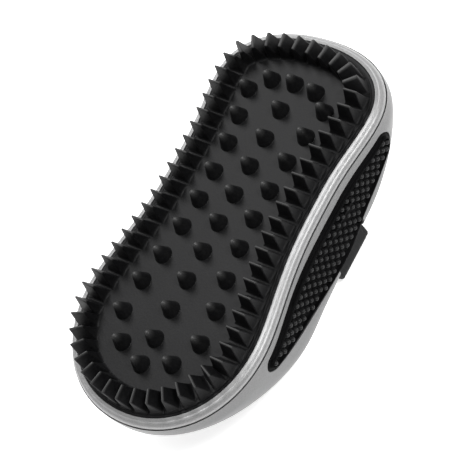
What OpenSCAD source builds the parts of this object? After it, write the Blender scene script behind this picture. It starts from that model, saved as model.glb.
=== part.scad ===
// Palm-held rubber curry brush.
// The brush lies on its back with the teeth up. X runs along the brush, with
// the broad end at -X. Y runs across it and Z is up. The origin is on the
// resting plane, under the middle of the bounding box.

/* [Outline] */
// Distance from the broad lobe's centre to the broad end of the pad
lobe_a = 31.7; // [31:0.1:33]
// Half width of the pad at the broad lobe
lobe_b = 31.5; // [30.5:0.1:32]
// Distance from the narrow lobe's centre to the narrow end of the pad
nose_a = 19.1; // [18:0.1:20]
// Half width of the pad at the narrow lobe
nose_b = 28.6; // [28:0.1:29.5]
// Half width of the pad at the waist
waist_b = 26.2; // [26:0.1:27]
// Distance between the two lobe centres
lobe_gap = 77.8; // [77:0.1:79]
// Distance from the broad lobe's centre to the waist
waist_at = 49.9; // [45:0.1:54]

/* [Heights] */
// Height of the pad's floor above the resting plane
z_floor = 33; // [33:0.1:34]
// Height of the back shell's crown above the resting plane
z_crown = 2.4; // [2.3:0.1:2.6]
// Drop from the pad's floor to the parting line of bezel and shell
part_drop = 3.1; // [3:0.1:3.3]

/* [Teeth and cones] */
// Spacing of the wedge teeth along the two long sides
tooth_pitch = 4.96; // [4.9:0.01:5]
// Number of teeth fanned round the broad end
n_broad = 14; // [12:2:14]
// Number of teeth fanned round the narrow end
n_narrow = 10; // [8:2:10]
// Height of a wedge tooth above the floor
tooth_h = 7.2; // [6:0.1:7.4]
// Radial length of a wedge tooth at its root
tooth_len = 6.2; // [5:0.1:6.6]
// Radial length of a wedge tooth's ridge
ridge_len = 4.4; // [3:0.1:5]
// Flat strip left between two teeth
tooth_gap = 0.9; // [0.5:0.1:1.2]
// Distance from the pad's edge to the outer end of a ridge along the sides
tooth_inset = 2.9; // [2.6:0.1:3.2]
// The same distance at the broad end
broad_inset = 1.9; // [1.8:0.1:2.6]
// Height of a massage cone above the floor
cone_h = 6; // [4:0.1:7]
// Root diameter of a massage cone
cone_d = 5.6; // [4.5:0.1:6]

/* [Shell] */
// Wall thickness of the back shell
wall = 2; // [1.8:0.1:2.2]
// How far the shell swells beyond the bezel's lower edge
swell = 0.85; // [0.6:0.05:1]
// Squareness of the shell's cross-section
sq_y = 4.6; // [4.2:0.1:5]
// How much the waist fills out with depth
waist_fill = 6.28; // [5.5:0.02:6.6]
// Roundness of the shell's arch from end to end
sq_x = 2; // [1.9:0.05:2.1]
// Width of the bezel outside the pad's edge
bezel_w = 2.9; // [2.7:0.05:3]

/* [Grips] */
// Position of a grip insert's broad end along the brush
grip_x0 = -34.8; // [-35.4:0.1:-34]
// Position of a grip insert's narrow end along the brush
grip_x1 = 46; // [45:0.1:46.4]
// Depth of a grip insert's lower edge below the bristle floor
grip_depth = 19.6; // [19:0.1:19.8]
// How far a grip insert stands proud of the shell
grip_proud = 0.9; // [0.6:0.1:1]

/* [Hand strap] */
// Width of the hand strap
strap_w = 17; // [15:0.5:17]
// Thickness of the hand strap
strap_t = 1.9; // [1.6:0.1:1.9]
// Position of the strap's middle along the brush
strap_x = 12.4; // [10:0.1:13]

/* [Hidden] */

N = 96;                         // points round the outline
xl = -32.6;                     // centre of the broad lobe
xu = xl + lobe_gap;             // centre of the narrow lobe
xw = xl + waist_at;             // the waist
xc = -2;                        // middle of the shell's arch
z_part = z_floor - part_drop;   // parting plane
H = z_part - z_crown;           // depth of the shell
z_car = z_floor - 3;            // top of the carrier
car_t = 2.4;                    // thickness of the carrier
eps = 0.01;

// Massage cones: pairs either side of the middle, and the middle row
pair_xy = [[47.8, 8.4], [42.7, 14.6], [33.4, 12.9], [24, 11.4], [13.8, 10.8], [3.9, 10.6],
           [-6, 11.2], [-16.4, 12.5], [-26.2, 14.5], [-36.9, 15.2], [-45.7, 9.9]];
mid_x = [48.6, 39.1, 29, 19.1, 9.1, -0.9, -10.9, -20.9, -30.9, -40.8, -49.4];

// Carrier screw positions
boss_xy = [[-44, 13], [-44, -13], [-12, 17], [-12, -17], [44, 12], [44, -12]];
// Locating pegs under the pad
peg_xy = [[-56, 0], [-28, 0], [0, 0], [28, 0], [54, 0]];

function sm(t) = let (u = min(1, max(0, t))) u * u * (3 - 2 * u);

// Half width of the pad between the lobe centres
function half_w(x) = x < xw
    ? waist_b + (lobe_b - waist_b) * sm(pow(max(0, (xw - x) / (xw - xl)), 1.5))
    : waist_b + (nose_b - waist_b) * sm(pow(max(0, (x - xw) / (xu - xw)), 1.3));

function upper_half() = concat(
    [for (i = [0:23]) let (t = 90 * i / 24)
        [xl - lobe_a * pow(cos(t), 2 / 2.08), lobe_b * pow(sin(t), 2 / 2.08)]],
    [for (i = [0:40]) let (x = xl + (xu - xl) * i / 40) [x, half_w(x)]],
    [for (i = [23:-1:0]) let (t = 90 * i / 24)
        [xu + nose_a * pow(cos(t), 2 / 2.3), nose_b * pow(sin(t), 2 / 2.3)]]);

function mirrored(p) = concat(p, [for (i = [len(p) - 2:-1:1]) [p[i][0], -p[i][1]]]);

function cum(p) = let (n = len(p))
    [for (i = 0, s = 0; i <= n; s = s + norm(p[(i + 1) % n] - p[i % n]), i = i + 1) s];

// m evenly spaced points round a closed outline, the first at phase ph
function even(p, m, ph = 0) = let (n = len(p), c = cum(p), L = c[n],
        tx = [for (i = [0:n]) [c[i], p[i % n][0]]], ty = [for (i = [0:n]) [c[i], p[i % n][1]]])
    [for (i = [0:m - 1]) let (s = L * (i + ph) / m) [lookup(s, tx), lookup(s, ty)]];

function unit(v) = v / norm(v);

// Outward normals of a closed clockwise outline
function normals(p) = let (n = len(p))
    [for (i = [0:n - 1]) let (d = unit(p[(i + 1) % n] - p[(i + n - 1) % n])) [-d[1], d[0]]];

edge = even(mirrored(upper_half()), N);
enor = normals(edge);

function off_edge(o) = [for (i = [0:N - 1]) edge[i] + o * enor[i]];

// Plate that follows the outline at offset o, from z0 to z1
module plate(o, z0, z1) {
    translate([0, 0, z0]) linear_extrude(z1 - z0) polygon(off_edge(o));
}

// Ring swept round the outline; prof lists [offset, z], anticlockwise in that plane
module swept(prof) {
    m = len(prof);
    pts = [for (i = [0:N - 1]) for (j = [0:m - 1])
        [edge[i][0] + prof[j][0] * enor[i][0], edge[i][1] + prof[j][0] * enor[i][1], prof[j][1]]];
    polyhedron(pts, [for (i = [0:N - 1]) for (j = [0:m - 1])
        let (a = i * m + j, b = i * m + (j + 1) % m, c = ((i + 1) % N) * m + (j + 1) % m, d = ((i + 1) % N) * m + j)
        each [[a, b, c], [a, c, d]]], convexity = 6);
}

lev_fine = [0, 0.05, 0.1, 0.16, 0.24, 0.34, 0.44, 0.54, 0.63, 0.71, 0.78, 0.84, 0.89, 0.93, 0.96, 0.985];
lev_grip = [0, 0.08, 0.16, 0.28, 0.4, 0.52, 0.63, 0.73, 0.82, 0.9, 0.97];
lev_plain = [0, 0.08, 0.16, 0.35, 0.55, 0.72, 0.85, 0.94, 0.985];

// The sides swell out at the waist, and draw in a little at the lobes, with depth
function fill(x) = let (b = 1 / (1 + exp((x - 5) / 8)))
    waist_fill * exp(-pow((x - 12.3) / 34.8, 2)) - 1.36 * b - 3 * (1 - b);
function filled(q, u) = q[1] + sign(q[1]) * fill(q[0]) * sm(u / 0.7) * min(1, abs(q[1]) / 20);

// Closed body of the back, inset by k, with nn points round it at the levels
// lvs; top extends its open side upwards
module loft(k, top = 0, nn = 48, lvs = lev_plain) {
    h = H - k;
    lv = top > 0 ? concat([-top / h], lvs) : lvs;
    m = len(lv);
    edge = even(mirrored(upper_half()), nn);
    enor = normals(edge);
    N = nn;
    pts = concat(
        [for (t = lv) let (u = max(0, t), w = bezel_w + swell * sm(u / 0.16) - k,
                sx = pow(1 - pow(u, sq_x), 1 / sq_x), sy = pow(1 - pow(u, sq_y), 1 / sq_y))
            for (i = [0:N - 1]) let (q = edge[i] + w * enor[i])
                [xc + (q[0] - xc) * sx, filled(q, u) * sy, z_part - h * t]],
        [[xc, 0, z_part - h]]);
    polyhedron(pts, concat(
        [for (j = [0:m - 2]) for (i = [0:N - 1]) let (a = j * N + i, b = j * N + (i + 1) % N)
            each [[a, b + N, b], [a, a + N, b + N]]],
        [for (i = [0:N - 1]) [(m - 1) * N + i, m * N, (m - 1) * N + (i + 1) % N]],
        [[for (i = [0:N - 1]) i]]), convexity = 6);
}

// Side outline of a grip insert, grown by g: nearly straight along the top, bellied below, with rounded ends
function leaf_top(x) = z_floor - 5.6 + 0.8 * exp(-pow((x + 15) / 16, 2));
function leaf_low(x) = z_floor - grip_depth + 8.4 * pow(abs(x - 10) / 42, 1.8);
function leaf_cap(x, g) = sqrt(max(0, 1 - pow(max(0, (grip_x0 + 2.8 - x) / (2.8 + g), (x - grip_x1 + 3.5) / (3.5 + g)), 2)));
function leaf_pt(i, side, g) = let (x = grip_x0 - g + (grip_x1 - grip_x0 + 2 * g) * (1 - cos(180 * i / 30)) / 2,
    m = (leaf_top(x) + leaf_low(x)) / 2, h = (leaf_top(x) - leaf_low(x)) / 2 + g) [x, m + side * h * leaf_cap(x, g)];
function leaf(g) = concat([for (i = [0:30]) leaf_pt(i, 1, g)], [for (i = [29:-1:1]) leaf_pt(i, -1, g)]);

// s is +1 for the left side (+Y) and -1 for the right side (-Y)
module leaf_prism(s, g) {
    translate([0, s > 0 ? 45 : -15, 0]) rotate([90, 0, 0]) linear_extrude(30) polygon(leaf(g));
}

module tooth(p, n) {
    t = [-n[1], n[0]];
    hb = (tooth_pitch - tooth_gap) / 2;
    zb = z_floor - 0.4;
    grow = 1 + 0.4 / tooth_h;
    ro = 0.5;
    ri = 0.5 - tooth_len;
    r1 = 0;
    r2 = -ridge_len;
    b = function (r, w, z) [p[0] + r * n[0] + w * t[0], p[1] + r * n[1] + w * t[1], z];
    pts = [b(ro, -hb * grow, zb), b(ro, hb * grow, zb), b(ri, hb * grow, zb), b(ri, -hb * grow, zb),
           b(r1, 0, z_floor + tooth_h), b(r2, 0, z_floor + tooth_h)];
    polyhedron(pts, [[0, 1, 2, 3], [0, 4, 1], [2, 5, 3], [1, 4, 5, 2], [3, 5, 4, 0]]);
}

// Half of the line that the outer ends of the ridges follow, from the broad tip to the narrow tip
tooth_line = [for (i = [0:N / 2])
    edge[i] - (tooth_inset + (broad_inset - tooth_inset) * sm((-24 - edge[i][0]) / 16)) * enor[i]];
line_s = [for (i = 0, s = 0; i <= N / 2; s = s + (i < N / 2 ? norm(tooth_line[i + 1] - tooth_line[i]) : 0), i = i + 1) s];
line_x = [for (i = [0:N / 2]) [line_s[i], tooth_line[i][0]]];
line_y = [for (i = [0:N / 2]) [line_s[i], tooth_line[i][1]]];
line_by_x = [for (i = [0:N / 2]) [tooth_line[i][0], line_s[i]]];
line_end = line_s[N / 2];

// First and last of the teeth that stand square to the long sides
side_x = [for (i = [-8:10]) tooth_pitch * i - 0.3];
s_first = lookup(side_x[0], line_by_x);
s_last = lookup(side_x[18], line_by_x);

function on_line(s) = [lookup(s, line_x), lookup(s, line_y)];
function line_nor(s) = let (d = unit(on_line(min(line_end, s + 1)) - on_line(max(0, s - 1)))) [-d[1], d[0]];

// [position, outward direction] of each tooth on the +Y half
tooth_half = concat(
    [for (j = [0:n_broad / 2 - 1]) let (s = s_first * (j + 0.5) / (n_broad / 2 + 0.5)) [on_line(s), line_nor(s)]],
    [for (x = side_x) [on_line(lookup(x, line_by_x)), [0, 1]]],
    [for (j = [0:n_narrow / 2 - 1]) let (s = line_end - (line_end - s_last) * (j + 0.5) / (n_narrow / 2 + 0.5))
        [on_line(s), line_nor(s)]]);

module cone_tip(x, y) {
    r = cone_d / 2;
    translate([x, y, z_floor]) rotate_extrude($fn = 24)
        polygon([[0, -0.5], [r + 0.35, -0.5], [r + 0.35, 0], [r, 0.25], [r * 0.86, cone_h * 0.35], [r * 0.68, cone_h * 0.66],
                 [r * 0.5, cone_h * 0.86], [r * 0.28, cone_h * 0.97], [0, cone_h]]);
}

module curry_pad() {
    color([0.09, 0.09, 0.1]) union() {
        plate(1.2, z_car, z_car + 1);
        plate(-0.1, z_car + 0.9, z_floor - 0.7);
        plate(-1.1, z_floor - 0.8, z_floor);
        for (q = tooth_half) for (s = [1, -1]) tooth([q[0][0], s * q[0][1]], [q[1][0], s * q[1][1]]);
        for (q = pair_xy) for (s = [1, -1]) cone_tip(q[0], s * q[1]);
        for (x = mid_x) cone_tip(x, 0);
        for (q = peg_xy) translate([q[0], q[1], z_car - car_t - 1]) cylinder(h = car_t + 1.5, r = 1.5, $fn = 32);
    }
}

module pad_carrier() {
    color([0.14, 0.14, 0.15]) difference() {
        union() {
            plate(0.6, z_car - car_t, z_car);
            for (y = [-8, 8]) translate([-50, y - 0.75, z_car - car_t - 3]) cube([100, 1.5, 3.2]);
            for (x = [-30, 28]) translate([x - 0.75, -8, z_car - car_t - 3]) cube([1.5, 16, 3.2]);
        }
        for (q = boss_xy) translate([q[0], q[1], 0]) {
            translate([0, 0, z_car - car_t - 1]) cylinder(h = 6, r = 1.7, $fn = 32);
            translate([0, 0, z_car - 1.1]) cylinder(h = 2, r = 3, $fn = 32);
        }
        for (q = peg_xy) translate([q[0], q[1], z_car - car_t - 5]) cylinder(h = 8, r = 1.65, $fn = 32);
    }
}

module bezel_ring() {
    color([0.72, 0.72, 0.73]) swept([
        [0, z_floor - 1.9], [1.4, z_floor - 1.9], [1.4, z_part - 1], [2, z_part - 1], [2, z_part],
        [bezel_w, z_part], [bezel_w - 0.05, z_part + 0.4], [2.6, z_part + 0.95], [2.15, z_part + 1.5],
        [1.45, z_part + 1.9], [0.9, z_part + 2.2], [0, z_part + 2.6]]);
}

strap_out = 30.3;   // outer face of the strap's legs
strap_r = 5;        // outer radius of the strap's corners
strap_top = 21.5;   // upper end of the strap's legs

module strap_block(s) {
    translate([strap_x - 12, s > 0 ? 24 : -36, 1]) cube([24, 12, 24]);
}

module strap_room(s) {
    translate([strap_x - strap_w / 2 - 0.4, s > 0 ? 28 : -40, 6.5]) cube([strap_w + 0.8, 12, 16.1]);
    translate([strap_x - strap_w / 2 - 0.4, s > 0 ? 27.2 : -40, 2.6]) cube([strap_w + 0.8, 12.8, 4.2]);
}

module back_shell() {
    color([0.74, 0.74, 0.75]) difference() {
        union() {
            difference() {
                loft(0, 0, 96, lev_fine);
                loft(wall, top = 1);
                plate(2.1, z_part - 1.1, z_part + 1);
            }
            intersection() {
                loft(0.5);
                union() {
                    for (s = [1, -1]) strap_block(s);
                    for (q = boss_xy) translate([q[0], q[1], 1]) cylinder(h = z_car - car_t - 1, r = 3.4, $fn = 40);
                }
            }
        }
        for (s = [1, -1]) {
            difference() {
                leaf_prism(s, 0.15);
                loft(1.1);
            }
            strap_room(s);
            for (x = [-5, 5]) translate([strap_x + x, s * 20, 18.5]) rotate([s * -90, 0, 0]) cylinder(h = 14, r = 0.95, $fn = 32);
            for (x = [-22, -8, 34]) translate([x, s * 15, z_floor - 10.5]) rotate([s * -90, 0, 0]) cylinder(h = 30, r = 1.6, $fn = 32);
        }
        for (q = boss_xy) translate([q[0], q[1], z_car - car_t - 11]) cylinder(h = 12, r = 1.2, $fn = 32);
    }
}

module grip(s) {
    color([0.07, 0.07, 0.075]) union() {
        difference() {
            intersection() {
                leaf_prism(s, 0);
                loft(-grip_proud, 0, 72, lev_grip);
            }
            loft(1);
            translate([strap_x - strap_w / 2 - 0.6, s > 0 ? 22 : -31.6, 2]) cube([strap_w + 1.2, 9.6, 20.8]);
        }
        for (x = [-22, -8, 34]) let (h = filled([x, half_w(x) + bezel_w + swell], 0.27))
            translate([x, s * (h - 4.5), z_floor - 10.5]) rotate([s * -90, 0, 0]) cylinder(h = 4, r = 1.5, $fn = 32);
    }
}

module hand_strap() {
    a = strap_out;
    r = strap_r;
    t = strap_t;
    arc_o = [for (i = [0:8]) let (g = 90 * i / 8) [a - r + r * cos(g), r - r * sin(g)]];
    arc_i = [for (i = [8:-1:0]) let (g = 90 * i / 8) [a - r + (r - t) * cos(g), r - (r - t) * sin(g)]];
    right = concat([[a, strap_top]], arc_o);
    inner = concat(arc_i, [[a - t, strap_top]]);
    color([0.1, 0.1, 0.11]) difference() {
        translate([strap_x - strap_w / 2, 0, 0]) rotate([90, 0, 90]) linear_extrude(strap_w)
            difference() {
                polygon(concat(right, [for (i = [len(right) - 1:-1:0]) [-right[i][0], right[i][1]]]));
                polygon(concat([[a - t, strap_top + 1]], [for (i = [len(inner) - 1:-1:0]) inner[i]],
                    [for (p = inner) [-p[0], p[1]]], [[-(a - t), strap_top + 1]]));
            }
        for (s = [1, -1]) for (x = [-5, 5])
            translate([strap_x + x, s * 22, 18.5]) rotate([s * -90, 0, 0]) cylinder(h = 12, r = 1.25, $fn = 32);
    }
}

module strap_clamp(s) {
    color([0.6, 0.6, 0.6]) difference() {
        translate([strap_x - strap_w / 2 + 0.5, s > 0 ? strap_out + 0.1 : -strap_out - 0.85, 15.5]) cube([strap_w - 1, 0.75, 6]);
        for (x = [-5, 5]) translate([strap_x + x, s * 28, 18.5]) rotate([s * -90, 0, 0]) cylinder(h = 6, r = 1.05, $fn = 32);
    }
}

module clamp_screws() {
    color([0.55, 0.55, 0.56]) for (s = [1, -1]) for (x = [-5, 5])
        translate([strap_x + x, 0, 18.5]) rotate([s * -90, 0, 0]) {
            translate([0, 0, 24.3]) cylinder(h = strap_out + 0.9 - 24.3, r = 0.9, $fn = 32);
            translate([0, 0, strap_out + 0.88]) cylinder(h = 0.35, r = 1.9, $fn = 32);
        }
}

module carrier_screws() {
    color([0.55, 0.55, 0.56]) for (q = boss_xy) translate([q[0], q[1], 0]) difference() {
        union() {
            translate([0, 0, z_car - car_t - 8]) cylinder(h = car_t + 7, r = 1.15, $fn = 32);
            translate([0, 0, z_car - 1.1]) cylinder(h = 1, r = 2.7, $fn = 32);
        }
        for (g = [0, 90]) translate([0, 0, z_car - 0.55]) rotate([0, 0, g]) cube([2.6, 0.6, 1.2], center = true);
    }
}

curry_pad();
pad_carrier();
bezel_ring();
back_shell();
grip(1);  // grip_left
grip(-1);  // grip_right
hand_strap();
strap_clamp(1);  // strap_clamp_left
strap_clamp(-1);  // strap_clamp_right
clamp_screws();
carrier_screws();
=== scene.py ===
import math
import random
import bpy
import bmesh
import numpy as np
from mathutils import Matrix, Vector


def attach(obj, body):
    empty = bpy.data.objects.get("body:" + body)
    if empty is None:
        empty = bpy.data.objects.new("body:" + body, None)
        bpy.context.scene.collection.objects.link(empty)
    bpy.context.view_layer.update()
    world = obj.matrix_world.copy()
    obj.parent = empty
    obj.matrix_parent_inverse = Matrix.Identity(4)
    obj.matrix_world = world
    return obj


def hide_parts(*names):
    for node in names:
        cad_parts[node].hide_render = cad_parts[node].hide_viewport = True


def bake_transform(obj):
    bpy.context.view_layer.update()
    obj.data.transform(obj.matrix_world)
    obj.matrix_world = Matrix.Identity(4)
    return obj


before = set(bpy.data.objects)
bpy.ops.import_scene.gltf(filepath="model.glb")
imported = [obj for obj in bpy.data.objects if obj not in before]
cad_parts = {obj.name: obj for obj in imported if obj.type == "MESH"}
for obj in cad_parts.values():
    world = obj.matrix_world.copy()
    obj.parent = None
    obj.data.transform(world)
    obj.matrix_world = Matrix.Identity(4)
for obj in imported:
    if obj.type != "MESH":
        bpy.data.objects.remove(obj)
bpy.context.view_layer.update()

random.seed(7)

# ---------------------------------------------------------------- dimensions, mm (as in the CAD model)
LOBE_A, LOBE_B, NOSE_A, NOSE_B, WAIST_B = 31.7, 31.5, 19.1, 28.6, 26.2
XL = -32.6
XU = XL + 77.8
XW = XL + 49.9
XC = -2.0
Z_FLOOR, Z_CROWN = 33.0, 2.4
Z_PART = Z_FLOOR - 3.1
H = Z_PART - Z_CROWN
BEZEL_W, SWELL, SQ_Y, SQ_X, WAIST_FILL = 2.9, 0.85, 4.6, 2.0, 6.28
PITCH, N_BROAD, N_NARROW = 4.96, 14, 10
TOOTH_H, TOOTH_LEN, RIDGE_LEN, TOOTH_GAP, TOOTH_INSET, BROAD_INSET = 7.2, 6.2, 4.4, 0.9, 2.9, 1.9
CONE_H, CONE_D = 6.0, 5.6
GRIP_X0, GRIP_X1, GRIP_DEPTH = -34.8, 46.0, 20.8
STRAP_W, STRAP_T, STRAP_X, STRAP_OUT, STRAP_R, STRAP_TOP = 17.0, 1.9, 12.4, 30.3, 5.0, 21.5
PAIR_XY = [(47.8, 8.4), (42.7, 14.6), (33.4, 12.9), (24, 11.4), (13.8, 10.8), (3.9, 10.6),
           (-6, 11.2), (-16.4, 12.5), (-26.2, 14.5), (-36.9, 15.2), (-45.7, 9.9)]
MID_X = [48.6, 39.1, 29, 19.1, 9.1, -0.9, -10.9, -20.9, -30.9, -40.8, -49.4]


def sm(t):
    u = np.clip(t, 0.0, 1.0)
    return u * u * (3 - 2 * u)


def half_w(x):
    if x < XW:
        return WAIST_B + (LOBE_B - WAIST_B) * float(sm(max(0.0, (XW - x) / (XW - XL)) ** 1.5))
    return WAIST_B + (NOSE_B - WAIST_B) * float(sm(max(0.0, (x - XW) / (XU - XW)) ** 1.3))


def base_outline():
    p = []
    for i in range(96):
        t = math.radians(90 * i / 96)
        p.append((XL - LOBE_A * math.cos(t) ** (2 / 2.08), LOBE_B * math.sin(t) ** (2 / 2.08)))
    for i in range(161):
        x = XL + (XU - XL) * i / 160
        p.append((x, half_w(x)))
    for i in range(95, -1, -1):
        t = math.radians(90 * i / 96)
        p.append((XU + NOSE_A * math.cos(t) ** (2 / 2.3), NOSE_B * math.sin(t) ** (2 / 2.3)))
    p = np.array(p)
    return np.vstack([p, p[-2:0:-1] * (1, -1)])


def even(p, m, ph=0.0):
    q = np.vstack([p, p[:1]])
    c = np.r_[0, np.cumsum(np.linalg.norm(np.diff(q, axis=0), axis=1))]
    s = c[-1] * (np.arange(m) + ph) / m
    return np.stack([np.interp(s, c, q[:, 0]), np.interp(s, c, q[:, 1])], 1), c[-1]


def normals(p):
    d = np.roll(p, -1, 0) - np.roll(p, 1, 0)
    d /= np.linalg.norm(d, axis=1)[:, None]
    return np.stack([-d[:, 1], d[:, 0]], 1)


BASE = base_outline()


def fill(x):
    b = 1 / (1 + np.exp((x - 5) / 8))
    return WAIST_FILL * np.exp(-((x - 12.3) / 34.8) ** 2) - 1.36 * b - 3 * (1 - b)


def filled(q, u):
    return q[:, 1] + np.sign(q[:, 1]) * fill(q[:, 0]) * float(sm(u / 0.7)) * np.minimum(1, np.abs(q[:, 1]) / 20)


def edge(n):
    e, _ = even(BASE, n)
    nn = normals(e)
    for _ in range(2):   # the superellipse joins leave tiny kinks in the normals
        nn = (np.roll(nn, 1, 0) + 2 * nn + np.roll(nn, -1, 0)) / 4
        nn /= np.linalg.norm(nn, axis=1)[:, None]
    return e, nn


# ---------------------------------------------------------------- materials
def new_mat(name):
    m = bpy.data.materials.new(name)
    m.use_nodes = True
    nt = m.node_tree
    b = nt.nodes["Principled BSDF"]
    return m, nt, b


def tex_coord(nt):
    t = nt.nodes.new("ShaderNodeTexCoord")
    return t.outputs["Object"]


def noise(nt, co, scale, detail=3.0, rough=0.5):
    n = nt.nodes.new("ShaderNodeTexNoise")
    n.inputs["Scale"].default_value = scale
    n.inputs["Detail"].default_value = detail
    n.inputs["Roughness"].default_value = rough
    nt.links.new(co, n.inputs["Vector"])
    return n.outputs["Fac"]


def ramp(nt, fac, stops):
    r = nt.nodes.new("ShaderNodeValToRGB")
    el = r.color_ramp.elements
    while len(el) < len(stops):
        el.new(0.5)
    for e, (p, c) in zip(el, stops):
        e.position = p
        e.color = (c[0], c[1], c[2], 1)
    nt.links.new(fac, r.inputs["Fac"])
    return r.outputs["Color"]


def maprange(nt, v, a, b):
    m = nt.nodes.new("ShaderNodeMapRange")
    m.inputs["To Min"].default_value = a
    m.inputs["To Max"].default_value = b
    nt.links.new(v, m.inputs["Value"])
    return m.outputs["Result"]


def bump(nt, h, strength, dist, prev=None):
    b = nt.nodes.new("ShaderNodeBump")
    b.inputs["Strength"].default_value = strength
    b.inputs["Distance"].default_value = dist
    nt.links.new(h, b.inputs["Height"])
    if prev is not None:
        nt.links.new(prev, b.inputs["Normal"])
    return b.outputs["Normal"]


def rubber(name, lo, hi, r0, r1, grain, strength, spec, tip_highlight=None):
    """Rubber with a fine grain; tip_highlight = (height from, height to, colour) pales what stands tallest, a
    painted highlight.
    """
    m, nt, b = new_mat(name)
    co = tex_coord(nt)
    big = noise(nt, co, 60, 4, 0.6)
    fine = noise(nt, co, grain, 3, 0.6)
    mul = nt.nodes.new("ShaderNodeMixRGB")
    mul.blend_type = "MULTIPLY"
    mul.inputs["Fac"].default_value = 1.0
    nt.links.new(ramp(nt, big, [(0.3, lo), (0.7, hi)]), mul.inputs["Color1"])
    nt.links.new(ramp(nt, fine, [(0.3, (0.55, 0.55, 0.55)), (0.7, (1.35, 1.35, 1.35))]), mul.inputs["Color2"])
    col = mul.outputs["Color"]
    # colour paled towards the top by height: painted highlight
    if tip_highlight:
        sep = nt.nodes.new("ShaderNodeSeparateXYZ")
        nt.links.new(co, sep.inputs["Vector"])
        mr = nt.nodes.new("ShaderNodeMapRange")
        mr.inputs["From Min"].default_value = tip_highlight[0] * 0.001
        mr.inputs["From Max"].default_value = tip_highlight[1] * 0.001
        nt.links.new(sep.outputs["Z"], mr.inputs["Value"])
        mix = nt.nodes.new("ShaderNodeMixRGB")
        nt.links.new(mr.outputs["Result"], mix.inputs["Fac"])
        nt.links.new(col, mix.inputs["Color1"])
        mix.inputs["Color2"].default_value = (tip_highlight[2], tip_highlight[2], tip_highlight[2], 1)
        col = mix.outputs["Color"]
    nt.links.new(col, b.inputs["Base Color"])
    nt.links.new(maprange(nt, fine, r0, r1), b.inputs["Roughness"])
    nt.links.new(bump(nt, fine, strength, 0.00012), b.inputs["Normal"])
    b.inputs["Specular IOR Level"].default_value = spec
    return m


M_PAD = rubber("pad_rubber", (0.0060, 0.0060, 0.0064), (0.0090, 0.0090, 0.0095), 0.50, 0.66, 1300, 0.5, 0.15)
# tooth ridges paled near their tops: painted highlight
M_TOOTH = rubber("tooth_rubber", (0.0060, 0.0060, 0.0064), (0.0085, 0.0085, 0.0090), 0.42, 0.58, 1300, 0.4, 0.15,
                 tip_highlight=(Z_FLOOR + 6.45, Z_FLOOR + 7.1, 0.045))
# cone tips paled towards their tops: painted highlight
M_CONE = rubber("cone_rubber", (0.0060, 0.0060, 0.0064), (0.0085, 0.0085, 0.0090), 0.38, 0.52, 1300, 0.4, 0.24,
                tip_highlight=(Z_FLOOR + 3.6, Z_FLOOR + 6.2, 0.040))
M_GRIP = rubber("grip_rubber", (0.0028, 0.0028, 0.0030), (0.0044, 0.0044, 0.0047), 0.44, 0.58, 1700, 0.3, 0.03)
# the nubs get a lighter copy of the grip rubber: painted highlight on their raised tops
M_NUB_PAINTED_LIGHT = rubber("nub_rubber_painted_highlight", (0.0090, 0.0090, 0.0096), (0.0150, 0.0150, 0.0156), 0.36, 0.50, 1700, 0.3, 0.30)


def silver(name, lo, hi):
    m, nt, b = new_mat(name)
    co = tex_coord(nt)
    big = noise(nt, co, 25, 3, 0.5)
    fleck = noise(nt, co, 2600, 2, 0.6)
    c = nt.nodes.new("ShaderNodeMixRGB")
    c.blend_type = "MULTIPLY"
    c.inputs["Fac"].default_value = 1.0
    nt.links.new(ramp(nt, big, [(0.3, lo), (0.7, hi)]), c.inputs["Color1"])
    nt.links.new(ramp(nt, fleck, [(0.35, (0.80, 0.80, 0.80)), (0.65, (1.0, 1.0, 1.0))]), c.inputs["Color2"])
    nt.links.new(c.outputs["Color"], b.inputs["Base Color"])
    b.inputs["Metallic"].default_value = 0.45
    nt.links.new(maprange(nt, fleck, 0.36, 0.50), b.inputs["Roughness"])
    nt.links.new(bump(nt, fleck, 0.10, 0.00005), b.inputs["Normal"])
    b.inputs["Coat Weight"].default_value = 0.12
    b.inputs["Coat Roughness"].default_value = 0.3
    return m


# one silver paint in two copies: the ring's is lighter (painted highlight), the shell's is darker (painted shade on
# its lower walls)
M_SILVER_PAINTED_LIGHT = silver("silver_paint_painted_light", (0.360, 0.360, 0.362), (0.385, 0.385, 0.385))
M_SHELL_PAINTED_SHADE = silver("shell_paint_painted_shade", (0.195, 0.195, 0.197), (0.212, 0.212, 0.212))


def webbing():
    m, nt, b = new_mat("strap_webbing")
    co = tex_coord(nt)
    w1 = nt.nodes.new("ShaderNodeTexWave")
    w1.wave_type = "BANDS"
    w1.bands_direction = "X"
    w1.inputs["Scale"].default_value = 420
    w1.inputs["Distortion"].default_value = 0.4
    w1.inputs["Detail"].default_value = 1.0
    nt.links.new(co, w1.inputs["Vector"])
    w2 = nt.nodes.new("ShaderNodeTexWave")
    w2.wave_type = "BANDS"
    w2.bands_direction = "Y"
    w2.inputs["Scale"].default_value = 300
    w2.inputs["Distortion"].default_value = 0.4
    w2.inputs["Detail"].default_value = 1.0
    nt.links.new(co, w2.inputs["Vector"])
    mul = nt.nodes.new("ShaderNodeMath")
    mul.operation = "MULTIPLY"
    nt.links.new(w1.outputs["Fac"], mul.inputs[0])
    nt.links.new(w2.outputs["Fac"], mul.inputs[1])
    fine = noise(nt, co, 2200, 2, 0.6)
    nt.links.new(ramp(nt, mul.outputs[0], [(0.0, (0.006, 0.006, 0.0065)), (0.8, (0.020, 0.020, 0.021))]), b.inputs["Base Color"])
    n1 = bump(nt, mul.outputs[0], 0.6, 0.0002)
    nt.links.new(bump(nt, fine, 0.3, 0.0001, n1), b.inputs["Normal"])
    nt.links.new(maprange(nt, fine, 0.7, 0.9), b.inputs["Roughness"])
    b.inputs["Sheen Weight"].default_value = 0.06
    b.inputs["Specular IOR Level"].default_value = 0.18
    b.inputs["Sheen Roughness"].default_value = 0.5
    return m


M_STRAP = webbing()


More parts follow.
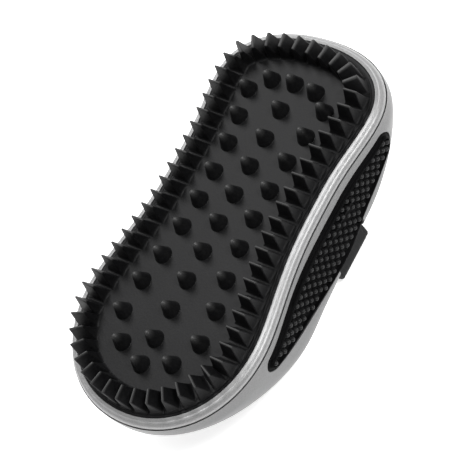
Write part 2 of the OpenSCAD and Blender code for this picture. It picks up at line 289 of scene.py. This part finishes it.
def plastic(name, c0, c1, r0, r1):
    m, nt, b = new_mat(name)
    co = tex_coord(nt)
    fine = noise(nt, co, 900, 3, 0.6)
    big = noise(nt, co, 40, 3, 0.5)
    nt.links.new(ramp(nt, big, [(0.3, c0), (0.7, c1)]), b.inputs["Base Color"])
    nt.links.new(maprange(nt, fine, r0, r1), b.inputs["Roughness"])
    nt.links.new(bump(nt, fine, 0.3, 0.0001), b.inputs["Normal"])
    return m


M_CARRIER = plastic("carrier_plastic", (0.020, 0.020, 0.021), (0.030, 0.030, 0.032), 0.42, 0.56)


def steel():
    m, nt, b = new_mat("zinc_steel")
    co = tex_coord(nt)
    fine = noise(nt, co, 1200, 4, 0.65)
    nt.links.new(ramp(nt, fine, [(0.3, (0.46, 0.46, 0.47)), (0.7, (0.62, 0.62, 0.62))]), b.inputs["Base Color"])
    b.inputs["Metallic"].default_value = 1.0
    nt.links.new(maprange(nt, fine, 0.25, 0.42), b.inputs["Roughness"])
    nt.links.new(bump(nt, fine, 0.15, 0.00006), b.inputs["Normal"])
    return m


M_STEEL = steel()


# ---------------------------------------------------------------- mesh helpers
def build(name, verts_mm, faces, mat, body="root", node=None, smooth=True):
    me = bpy.data.meshes.new(name)
    me.from_pydata([tuple(float(c) * 0.001 for c in v) for v in verts_mm], [], faces)
    me.update()
    bm = bmesh.new()
    bm.from_mesh(me)
    bmesh.ops.recalc_face_normals(bm, faces=bm.faces)
    bm.to_mesh(me)
    bm.free()
    me.materials.append(mat)
    if smooth:
        me.polygons.foreach_set("use_smooth", [True] * len(me.polygons))
    o = bpy.data.objects.new(name, me)
    bpy.context.scene.collection.objects.link(o)
    if body:
        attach(o, body)
    if node:
        for n in ([node] if isinstance(node, str) else node):
            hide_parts(n)
    return o


def sharp_by_angle(o, deg):
    me = o.data
    bm = bmesh.new()
    bm.from_mesh(me)
    for e in bm.edges:
        if len(e.link_faces) == 2:
            e.smooth = e.calc_face_angle(0.0) < math.radians(deg)
    bm.to_mesh(me)
    bm.free()


def sweep(prof, n):
    """Closed ring of a closed profile [(offset, z)] round the outline."""
    e, nn = edge(n)
    m = len(prof)
    v, f = [], []
    for i in range(n):
        for (o, z) in prof:
            v.append((e[i, 0] + o * nn[i, 0], e[i, 1] + o * nn[i, 1], z))
    for i in range(n):
        for j in range(m):
            a, b = i * m + j, i * m + (j + 1) % m
            c, d = ((i + 1) % n) * m + (j + 1) % m, ((i + 1) % n) * m + j
            f.append((a, b, c, d))
    return v, f


def smooth_profile(pts, sub):
    """Catmull-Rom through open points."""
    p = np.array(pts, float)
    q = np.vstack([2 * p[0] - p[1], p, 2 * p[-1] - p[-2]])
    out = []
    for i in range(1, len(q) - 2):
        for k in range(sub):
            t = k / sub
            a, b, c, d = q[i - 1], q[i], q[i + 1], q[i + 2]
            out.append(0.5 * ((2 * b) + (-a + c) * t + (2 * a - 5 * b + 4 * c - d) * t * t + (-a + 3 * b - 3 * c + d) * t ** 3))
    out.append(p[-1])
    return [tuple(x) for x in out]


# ---------------------------------------------------------------- curry pad
def make_pad_base():
    n = 320
    prof = [(1.2, 30.0), (1.2, 31.0), (-0.12, 31.05), (-0.12, 32.1), (-0.22, 32.28), (-0.6, 32.34),
            (-0.95, 32.36), (-1.02, 32.62), (-1.12, 32.78), (-1.26, 32.84), (-1.42, 32.80), (-1.52, 32.68),
            (-1.62, 32.66), (-1.9, 32.70), (-2.3, 32.86), (-2.7, 32.97), (-3.2, 33.0), (-9.5, 33.0)]
    e, nn = edge(n)
    m = len(prof)
    v, f = [], []
    for (o, z) in prof:
        for i in range(n):
            v.append((e[i, 0] + o * nn[i, 0], e[i, 1] + o * nn[i, 1], z))
    for j in range(m - 1):
        for i in range(n):
            a, b = j * n + i, j * n + (i + 1) % n
            f.append((a, b, b + n, a + n))
    f.append(tuple((m - 1) * n + i for i in range(n)))
    f.append(tuple(reversed([i for i in range(n)])))
    o = build("curry_pad_base", v, f, M_PAD, node="curry_pad")
    sharp_by_angle(o, 50)
    return o


make_pad_base()


def tooth_frames():
    """Outer end of each ridge and its outward direction: square to the long sides, fanned round the ends."""
    e, nn = edge(1440)
    inset = TOOTH_INSET + (BROAD_INSET - TOOTH_INSET) * sm((-24 - e[:, 0]) / 16)
    line = (e - inset[:, None] * nn)[:721]
    c = np.r_[0, np.cumsum(np.linalg.norm(np.diff(line, axis=0), axis=1))]

    def at(v):
        return np.array([np.interp(v, c, line[:, 0]), np.interp(v, c, line[:, 1])])

    def nor(v):
        d = at(min(c[-1], v + 1)) - at(max(0, v - 1))
        d /= np.linalg.norm(d)
        return np.array([-d[1], d[0]])

    xs = [PITCH * i - 0.3 for i in range(-8, 11)]
    ss = [float(np.interp(x, line[:, 0], c)) for x in xs]
    half = [(at(ss[0] * (j + 0.5) / (N_BROAD / 2 + 0.5)), nor(ss[0] * (j + 0.5) / (N_BROAD / 2 + 0.5))) for j in range(N_BROAD // 2)]
    half += [(at(v), np.array([0.0, 1.0])) for v in ss]
    for j in range(N_NARROW // 2):
        v = c[-1] - (c[-1] - ss[-1]) * (j + 0.5) / (N_NARROW / 2 + 0.5)
        half.append((at(v), nor(v)))
    flip = np.array([1.0, -1.0])
    return half + [(p * flip, n * flip) for p, n in half]


def tooth_mesh(p, nrm, v, f, fan=0.0):
    """A wedge with a blunt ridge that runs outwards; r is the place along the ridge, w the width along the rim."""
    t = np.array([-nrm[1], nrm[0]])
    hb = (PITCH - TOOTH_GAP) / 2
    hb += 0.2 * fan
    f_out, f_in, r_out, r_in = 0.5 + 0.4 * fan, 0.5 - TOOTH_LEN + 0.8 * fan, 0.12 + 0.25 * fan, -RIDGE_LEN - 0.1
    tip = 0.26 + 0.22 * fan
    # (height, flare of the foot)
    hs = [(-0.5, 0.50), (0.0, 0.42), (0.12, 0.22), (0.35, 0.08), (0.8, 0.0), (2.2, 0.0), (3.8, 0.0), (5.4, 0.0),
          (6.5, 0.0), (TOOTH_H - 0.32, 0.0)]
    rows = []

    def ring(a, b, w, c, z):
        q = [(a, -w + c), (a, w - c), (a - c, w), (b + c, w), (b, w - c), (b, -w + c), (b + c, -w), (a - c, -w)]
        rows.append([len(v) + i for i in range(8)])
        for (r, w_) in q:
            v.append((p[0] + r * nrm[0] + w_ * t[0], p[1] + r * nrm[1] + w_ * t[1], Z_FLOOR + z))

    for (h, flare) in hs:
        u = max(0.0, h) / TOOTH_H
        w = tip + (hb - tip) * (1 - u) ** 1.04
        ring(f_out + (r_out - f_out) * u + flare, f_in + (r_in - f_in) * u - flare, w + flare * 0.5, min(0.22, w * 0.55), h)
    ring(r_out - 0.04, r_in + 0.04, tip * 0.92, tip * 0.5, TOOTH_H - 0.14)
    ring(r_out - 0.16, r_in + 0.16, tip * 0.6, tip * 0.3, TOOTH_H - 0.03)
    ring(r_out - 0.26, r_in + 0.26, tip * 0.25, tip * 0.12, TOOTH_H)
    for A, B in zip(rows[:-1], rows[1:]):
        for i in range(8):
            f.append((A[i], A[(i + 1) % 8], B[(i + 1) % 8], B[i]))
    f.append(tuple(rows[-1]))
    f.append(tuple(reversed(rows[0])))


def make_teeth():
    v, f = [], []
    for p, nn in tooth_frames():
        tooth_mesh(p, nn, v, f, float(sm((nn[0] - 0.15) / 0.5)))
    o = build("curry_pad_teeth", v, f, M_TOOTH, node="curry_pad")
    sharp_by_angle(o, 42)
    return o


make_teeth()


def make_cones():
    r = CONE_D / 2
    prof = smooth_profile([(r + 0.16, 0.0), (r + 0.03, 0.12), (r - 0.08, 0.6), (2.28, 1.9), (1.75, 3.4),
                           (1.22, 4.85), (0.86, 5.5), (0.42, 5.9), (0.14, 5.985)], 3)
    prof = [(r + 0.16, -0.4)] + prof
    n = 32
    v, f = [], []
    for (x, y) in [(a, s * b) for a, b in PAIR_XY for s in (1, -1)] + [(a, 0) for a in MID_X]:
        b0 = len(v)
        for (rr, z) in prof:
            for i in range(n):
                t = 2 * math.pi * i / n
                v.append((x + rr * math.cos(t), y + rr * math.sin(t), Z_FLOOR + z))
        m = len(prof)
        for j in range(m - 1):
            for i in range(n):
                a, b = b0 + j * n + i, b0 + j * n + (i + 1) % n
                f.append((a, b, b + n, a + n))
        v.append((x, y, Z_FLOOR + CONE_H))
        top = len(v) - 1
        for i in range(n):
            f.append((b0 + (m - 1) * n + i, b0 + (m - 1) * n + (i + 1) % n, top))
        f.append(tuple(b0 + i for i in reversed(range(n))))
    return build("curry_pad_cones", v, f, M_CONE, node="curry_pad")


make_cones()


# ---------------------------------------------------------------- bezel ring
def make_bezel():
    top = smooth_profile([(1.02, Z_PART + 2.06), (1.36, Z_PART + 1.98), (1.80, Z_PART + 1.76), (2.18, Z_PART + 1.40),
                          (2.48, Z_PART + 0.95), (2.64, Z_PART + 0.50), (2.68, Z_PART + 0.16), (2.62, Z_PART - 0.08)], 4)
    prof = [(0.0, 31.1), (1.4, 31.1), (1.4, 28.9), (1.96, 28.9), (2.0, Z_PART - 0.02), (2.48, Z_PART - 0.14)]
    prof += top[::-1] + [(0.95, Z_PART + 2.02), (0.86, Z_PART + 2.06), (0.55, Z_PART + 2.24),
                         (0.2, Z_PART + 2.46), (0.06, Z_PART + 2.50), (0.0, Z_PART + 2.42)]
    v, f = sweep(prof, 480)
    o = build("bezel_ring_shell", v, f, M_SILVER_PAINTED_LIGHT, node="bezel_ring")
    sharp_by_angle(o, 30)
    return o


make_bezel()


# ---------------------------------------------------------------- back shell
def loft_mesh(k, n, levels, top, channel=()):
    h = H - k
    e, nn = edge(n)
    lv = ([-top / h] if top else []) + list(levels)
    v, f = [], []
    for (o, z) in channel:      # rows of the parting channel, from the inside out
        for i in range(n):
            v.append((e[i, 0] + o * nn[i, 0], e[i, 1] + o * nn[i, 1], Z_PART + z))
    for t in lv:
        u = max(0.0, t)
        w = BEZEL_W + SWELL * float(sm(u / 0.16)) - k
        sx = (1 - u ** SQ_X) ** (1 / SQ_X)
        sy = (1 - u ** SQ_Y) ** (1 / SQ_Y)
        q = e + w * nn
        y = filled(q, u)
        for i in range(n):
            v.append((XC + (q[i, 0] - XC) * sx, y[i] * sy, Z_PART - h * t))
    m = len(lv) + len(channel)
    for j in range(m - 1):
        for i in range(n):
            a, b = j * n + i, j * n + (i + 1) % n
            f.append((a, b, b + n, a + n))
    v.append((XC, 0, Z_PART - h))
    for i in range(n):
        f.append(((m - 1) * n + i, (m - 1) * n + (i + 1) % n, m * n))
    f.append(tuple(reversed([i for i in range(n)])))
    return v, f


def levels(m, last):
    a = np.linspace(0, 1, m)
    return [float(last * math.sin(x * math.pi / 2) ** 0.9) for x in a]


def box_mesh(x0, x1, y0, y1, z0, z1):
    v = [(x, y, z) for x in (x0, x1) for y in (y0, y1) for z in (z0, z1)]
    f = [(0, 1, 3, 2), (4, 6, 7, 5), (0, 4, 5, 1), (2, 3, 7, 6), (0, 2, 6, 4), (1, 5, 7, 3)]
    return v, f


def raw(name, v, f):
    me = bpy.data.meshes.new(name)
    me.from_pydata([tuple(float(c) * 0.001 for c in p) for p in v], [], f)
    bm = bmesh.new()
    bm.from_mesh(me)
    bmesh.ops.recalc_face_normals(bm, faces=bm.faces)
    bm.to_mesh(me)
    bm.free()
    o = bpy.data.objects.new(name, me)
    bpy.context.scene.collection.objects.link(o)
    return o


def cut(o, tool, op="DIFFERENCE"):
    md = o.modifiers.new("b", "BOOLEAN")
    md.operation = op
    md.solver = "EXACT"
    md.object = tool
    dg = bpy.context.evaluated_depsgraph_get()
    me = bpy.data.meshes.new_from_object(o.evaluated_get(dg))
    o.modifiers.clear()
    old = o.data
    o.data = me
    bpy.data.meshes.remove(old)


def leaf_top(x):
    return Z_FLOOR - 5.6 + 0.8 * math.exp(-((x + 15) / 16) ** 2)


def leaf_low(x):
    return Z_FLOOR - GRIP_DEPTH + 9.6 * (abs(x - 10) / 42) ** 1.55


def leaf_cap(x, g=0.0):
    return math.sqrt(max(0.0, 1 - max(0.0, (GRIP_X0 + 2.8 - x) / (2.8 + g), (x - GRIP_X1 + 3.5) / (3.5 + g)) ** 2))


def leaf_span(x, g=0.0):
    """Lower and upper edge of the grip at x."""
    m, h = (leaf_top(x) + leaf_low(x)) / 2, ((leaf_top(x) - leaf_low(x)) / 2 + g) * leaf_cap(x, g)
    return m - h, m + h


def leaf(g, n=96):
    xs = [GRIP_X0 - g + (GRIP_X1 - GRIP_X0 + 2 * g) * (1 - math.cos(math.pi * i / n)) / 2 for i in range(n + 1)]
    return [(x, leaf_span(x, g)[1]) for x in xs] + [(x, leaf_span(x, g)[0]) for x in xs[-2:0:-1]]


def prism(s, g, y0, y1):
    p = leaf(g)
    n = len(p)
    v = [(x, s * y0, z) for x, z in p] + [(x, s * y1, z) for x, z in p]
    f = [tuple(range(n)), tuple(range(2 * n - 1, n - 1, -1))]
    f += [(i, (i + 1) % n, (i + 1) % n + n, i + n) for i in range(n)]
    return v, f


def make_shell():
    o = raw("back_shell_body", *loft_mesh(0, 288, sorted(levels(44, 0.993)[1:] + [0.006, 0.012, 0.02]), 0,
                                        channel=((2.40, -0.1), (2.48, -0.7), (2.62, -1.15), (2.80, -1.15), (2.90, -0.6), (2.94, -0.05), (3.02, 0.02))))
    tools = [raw("t1", *loft_mesh(2.0, 144, levels(20, 0.985), 1.0))]
    x0, x1 = STRAP_X - STRAP_W / 2 - 0.4, STRAP_X + STRAP_W / 2 + 0.4
    for s in (1, -1):
        rec = raw("t2", *prism(s, 0.12, 15, 45))
        keep = raw("t3", *loft_mesh(1.1, 192, levels(28, 0.985), 0))
        cut(rec, keep)
        bpy.data.objects.remove(keep)
        tools.append(rec)
    for t in tools:
        cut(o, t)
    for t in tools:
        bpy.data.objects.remove(t)
    # blocks that carry the strap's ends
    for s in (1, -1):
        b = raw("t4", *box_mesh(STRAP_X - 12, STRAP_X + 12, min(s * 24, s * 36), max(s * 24, s * 36), 1, 25))
        lim = raw("t5", *loft_mesh(1.25, 144, levels(24, 0.985), 0))
        cut(b, lim, "INTERSECT")
        bpy.data.objects.remove(lim)
        cut(o, b, "UNION")
        bpy.data.objects.remove(b)
        for (ya, za, zb) in ((28.0, 6.5, 22.6), (27.2, 2.6, 6.8)):
            r = raw("t6", *box_mesh(x0, x1, min(s * ya, s * 40), max(s * ya, s * 40), za, zb))
            cut(o, r)
            bpy.data.objects.remove(r)
    me = o.data
    me.materials.clear()
    me.materials.append(M_SHELL_PAINTED_SHADE)
    me.polygons.foreach_set("use_smooth", [True] * len(me.polygons))
    me.polygons.foreach_set("material_index", [0] * len(me.polygons))
    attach(o, "root")
    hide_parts("back_shell")
    sharp_by_angle(o, 32)
    return o


shell = make_shell()


# ---------------------------------------------------------------- side grips
class Side:
    """The shell's side wall as y(x, z), for an inset of k."""

    def __init__(self):
        e, nn = edge(960)
        self.e, self.n = e[:481], nn[:481]

    def y(self, x, z, k=0.0):
        h = H - k
        u = min(0.999, max(0.0, (Z_PART - z) / h))
        w = BEZEL_W + SWELL * float(sm(u / 0.16)) - k
        sx = (1 - u ** SQ_X) ** (1 / SQ_X)
        sy = (1 - u ** SQ_Y) ** (1 / SQ_Y)
        q = self.e + w * self.n
        return float(np.interp(XC + (x - XC) / sx, q[:, 0], filled(q, u))) * sy

    def frame(self, x, z):
        y = self.y(x, z)
        d = 0.05
        gx = (self.y(x + d, z) - self.y(x - d, z)) / (2 * d)
        gz = (self.y(x, z + d) - self.y(x, z - d)) / (2 * d)
        n = np.array([-gx, 1.0, -gz])
        return np.array([x, y, z]), n / np.linalg.norm(n)


SIDE = Side()


LEAF = np.array(leaf(0, 200))


def leaf_dist(x, z):
    a = LEAF
    b = np.roll(LEAF, -1, 0)
    p = np.array([x, z])
    d = b - a
    t = np.clip(((p - a) * d).sum(1) / np.maximum((d * d).sum(1), 1e-9), 0, 1)
    return float(np.linalg.norm(a + t[:, None] * d - p, axis=1).min())


def rib(d):
    """Height of the grip above the shell at distance d from its outline."""
    xs = [0.0, 0.10, 0.30, 1.05, 1.20, 1.42, 1.60, 1.78, 1.95, 2.15, 9.0]
    hs = [-0.55, -0.20, -0.10, -0.12, 0.30, 0.78, 0.86, 0.76, 0.10, -0.28, -0.30]
    return float(np.interp(d, xs, hs))


def make_grip(s, name, node):
    na = 260
    inset = [0.0, 0.05, 0.10, 0.20, 0.30, 0.7, 1.10, 1.25, 1.34, 1.42, 1.51, 1.60, 1.69, 1.78, 1.87, 1.95, 2.05, 2.15, 2.8]
    mid = 26
    v, f = [], []
    nv = 2 * len(inset) + mid
    xs = [0.5 * (-math.cos(math.pi * i / na) * 1.3 + (-1 + 2 * i / na) * 0.7) for i in range(na + 1)]
    xs = [(GRIP_X0 + GRIP_X1) / 2 + (GRIP_X1 - GRIP_X0) / 2 * u for u in xs][1:-1]
    for x in xs:
        zl, zt = leaf_span(x)
        k = min(1.0, (zt - zl) / 6.2)
        zs = [zt - i * k for i in inset]
        a, b = zt - 2.8 * k, zl + 2.8 * k
        zs += [a + (b - a) * (i + 1) / (mid + 1) for i in range(mid)]
        zs += [zl + i * k for i in reversed(inset)]
        for z in zs:
            p, n = SIDE.frame(x, z)
            q = p + n * rib(leaf_dist(x, z))
            if abs(q[0] - STRAP_X) < STRAP_W / 2 + 1.2 and q[2] < 23.4:
                q[1] = max(q[1], 31.64)      # stays outside the strap's clamp
            v.append((q[0], s * q[1], q[2]))
    cols = len(xs)
    for i in range(cols - 1):
        for j in range(nv - 1):
            a = i * nv + j
            f.append((a, a + 1, a + nv + 1, a + nv))
    # back skin, just above the recess floor
    m = len(v)
    for x in xs:
        for z in reversed(leaf_span(x)):
            v.append((x, s * SIDE.y(x, z, 1.0), z))
    for i in range(cols - 1):
        a, b = m + 2 * i, m + 2 * i + 2
        f.append((i * nv, a, b, (i + 1) * nv))
        f.append((i * nv + nv - 1, (i + 1) * nv + nv - 1, b + 1, a + 1))
    # closed ends
    f.append(tuple(range(nv)) + (m + 1, m))
    e = (cols - 1) * nv
    f.append((m + 2 * cols - 2, m + 2 * cols - 1) + tuple(reversed(range(e, e + nv))))
    o = build(name, v, f, M_GRIP, node=node)
    sharp_by_angle(o, 50)
    return o


make_grip(1, "grip_left_insert", "grip_left")
make_grip(-1, "grip_right_insert", "grip_right")


def make_nubs(s, name, node):
    v, f = [], []
    px, pz = 2.95, 1.72
    n = 10
    for row in range(16):
        x = GRIP_X0 + (px / 2 if row % 2 else 0)
        while x < GRIP_X1:
            # the rows follow the grip's upper edge
            zz = leaf_top(x) - 2.75 - row * pz
            lo, hi = leaf_span(x)
            if lo < zz < hi and leaf_dist(x, zz) > 2.45:
                p, nr = SIDE.frame(x, zz)
                tx = np.array([1.0, 0, 0]) - nr * nr[0]
                tx /= np.linalg.norm(tx)
                tz = np.cross(nr, tx)
                k = 1 + random.uniform(-0.06, 0.06)
                b0 = len(v)
                rings = [(-0.25, 1.06), (0.0, 1.00), (0.35, 0.94), (0.70, 0.80), (0.94, 0.55), (1.06, 0.27)]
                for (h, r) in rings:
                    for i in range(n):
                        a = 2 * math.pi * i / n
                        q = p + nr * (-0.28 + h * k * 1.2) + tx * (0.98 * r * math.cos(a)) + tz * (0.80 * r * math.sin(a))
                        v.append((q[0], s * q[1], q[2]))
                for j in range(len(rings) - 1):
                    for i in range(n):
                        a, b = b0 + j * n + i, b0 + j * n + (i + 1) % n
                        f.append((a, b, b + n, a + n))
                q = p + nr * (-0.28 + 1.10 * 1.2 * k)
                v.append((q[0], s * q[1], q[2]))
                for i in range(n):
                    f.append((b0 + (len(rings) - 1) * n + i, b0 + (len(rings) - 1) * n + (i + 1) % n, len(v) - 1))
                f.append(tuple(b0 + i for i in range(n)))
            x += px
    return build(name, v, f, M_NUB_PAINTED_LIGHT, node=node)


make_nubs(1, "grip_left_nubs", "grip_left")
make_nubs(-1, "grip_right_nubs", "grip_right")


# ---------------------------------------------------------------- hand strap
def make_strap():
    a, r, t = STRAP_OUT, STRAP_R, STRAP_T
    path = [(-a, STRAP_TOP - (STRAP_TOP - r) * i / 8) for i in range(8)]
    path += [(-(a - r) - r * math.cos(math.radians(g)), r - r * math.sin(math.radians(g))) for g in range(0, 90, 6)]
    path += [(-(a - r) + 2 * (a - r) * i / 40, 0.0) for i in range(41)]
    path += [((a - r) + r * math.sin(math.radians(g)), r - r * math.cos(math.radians(g))) for g in range(6, 91, 6)]
    path += [(a, r + (STRAP_TOP - r) * (i + 1) / 8) for i in range(8)]
    p = np.array(path)
    d = np.gradient(p, axis=0)
    d /= np.linalg.norm(d, axis=1)[:, None]
    nin = np.stack([-d[:, 1], d[:, 0]], 1)      # towards the inside of the U
    c = np.array([0, 12.0])
    sgn = np.sign(((c - p) * nin).sum(1))
    nin = nin * sgn[:, None]
    # section across the strap: (x, depth) with rounded selvedges and shallow lengthwise ribs
    xs = np.linspace(-STRAP_W / 2, STRAP_W / 2, 61)
    sec = []
    for x in xs:
        e = (abs(x) - (STRAP_W / 2 - 0.9)) / 0.9
        round_ = t / 2 * (1 - math.sqrt(max(0.0, 1 - max(0.0, e) ** 2)))
        groove = 0.10 * max(0.0, 1 - ((abs(x) - 7.1) / 0.35) ** 2)
        ribs = 0.035 * (0.5 - 0.5 * math.cos(2 * math.pi * x / 0.9)) * (1 if abs(x) < 6.6 else 0)
        sec.append((x, round_ + max(groove, 0.0) + ribs))
    ring = [(x, dd) for x, dd in sec] + [(x, t - dd * 0.8) for x, dd in reversed(sec)]
    m = len(ring)
    v, f = [], []
    for k in range(len(p)):
        for (x, dd) in ring:
            q = p[k] + nin[k] * dd
            v.append((STRAP_X + x, q[0], q[1]))
    for k in range(len(p) - 1):
        for j in range(m):
            a_, b_ = k * m + j, k * m + (j + 1) % m
            f.append((a_, b_, b_ + m, a_ + m))
    f.append(tuple(range(m)))
    f.append(tuple(reversed([(len(p) - 1) * m + j for j in range(m)])))
    o = build("hand_strap_webbing", v, f, M_STRAP, body=None, node="hand_strap")
    sharp_by_angle(o, 60)
    return o


strap = make_strap()
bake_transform(strap)

# ---------------------------------------------------------------- hidden hardware keeps its CAD shape
for n, m in (("pad_carrier", M_CARRIER), ("strap_clamp_left", M_STEEL), ("strap_clamp_right", M_STEEL),
             ("clamp_screws", M_STEEL), ("carrier_screws", M_STEEL)):
    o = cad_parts[n]
    o.data.materials.clear()
    o.data.materials.append(m)

# ---------------------------------------------------------------- camera
K, X0 = 0.96, 3.88
cam_d = bpy.data.cameras.new("camera")
cam_d.lens = 1513.9 * 36 / 460
cam_d.sensor_width = 36
cam_d.clip_start = 0.01
cam_d.clip_end = 20
cam = bpy.data.objects.new("camera", cam_d)
right, up, fwd = Vector((0.471, -0.773, -0.425)), Vector((0.860, 0.294, 0.417)), Vector((0.197, 0.562, -0.803))
fwd.normalize()
right = (right - fwd * right.dot(fwd)).normalized()
up = right.cross(fwd)
rot = Matrix((right, up, -fwd)).transposed()
loc = Vector((-98.8 * K + X0, -270.2 * K, 379.2 * K + Z_FLOOR)) * 0.001
cam.matrix_world = Matrix.Translation(loc) @ rot.to_4x4()
bpy.context.scene.collection.objects.link(cam)
bpy.context.scene.camera = cam


# ---------------------------------------------------------------- stage and lights
def make_floor():
    m, nt, b = new_mat("floor_paint")
    co = tex_coord(nt)
    n = noise(nt, co, 6, 2, 0.5)
    nt.links.new(ramp(nt, n, [(0.3, (0.86, 0.86, 0.86)), (0.7, (0.88, 0.88, 0.88))]), b.inputs["Base Color"])
    b.inputs["Roughness"].default_value = 0.9
    b.inputs["Specular IOR Level"].default_value = 0.1
    b.inputs["Emission Color"].default_value = (1, 1, 1, 1)
    b.inputs["Emission Strength"].default_value = 0.66
    me = bpy.data.meshes.new("floor")
    me.from_pydata([(-4, -4, 0), (4, -4, 0), (4, 4, 0), (-4, 4, 0)], [], [(0, 1, 2, 3)])
    me.materials.append(m)
    o = bpy.data.objects.new("floor", me)
    bpy.context.scene.collection.objects.link(o)


make_floor()


def area(name, at, target, size, power, size_y=None):
    d = bpy.data.lights.new(name, "AREA")
    d.shape = "RECTANGLE"
    d.size = size
    d.size_y = size_y or size
    d.energy = power
    o = bpy.data.objects.new(name, d)
    o.location = at
    v = Vector(target) - Vector(at)
    o.rotation_euler = v.to_track_quat("-Z", "Y").to_euler()
    bpy.context.scene.collection.objects.link(o)
    return o


area("key", (0.42, 0.62, 1.0), (0, 0, 0.02), 0.45, 15)
area("fill", (0.26, -0.72, 1.04), (0, 0, 0.02), 0.22, 8)
area("top", (-0.2, 0.2, 1.3), (0, 0, 0.02), 0.5, 3)
w = bpy.data.worlds.new("world")
w.use_nodes = True
w.node_tree.nodes["Background"].inputs["Color"].default_value = (1, 1, 1, 1)
w.node_tree.nodes["Background"].inputs["Strength"].default_value = 0.30
bpy.context.scene.world = w
bpy.context.scene.view_settings.view_transform = "Standard"
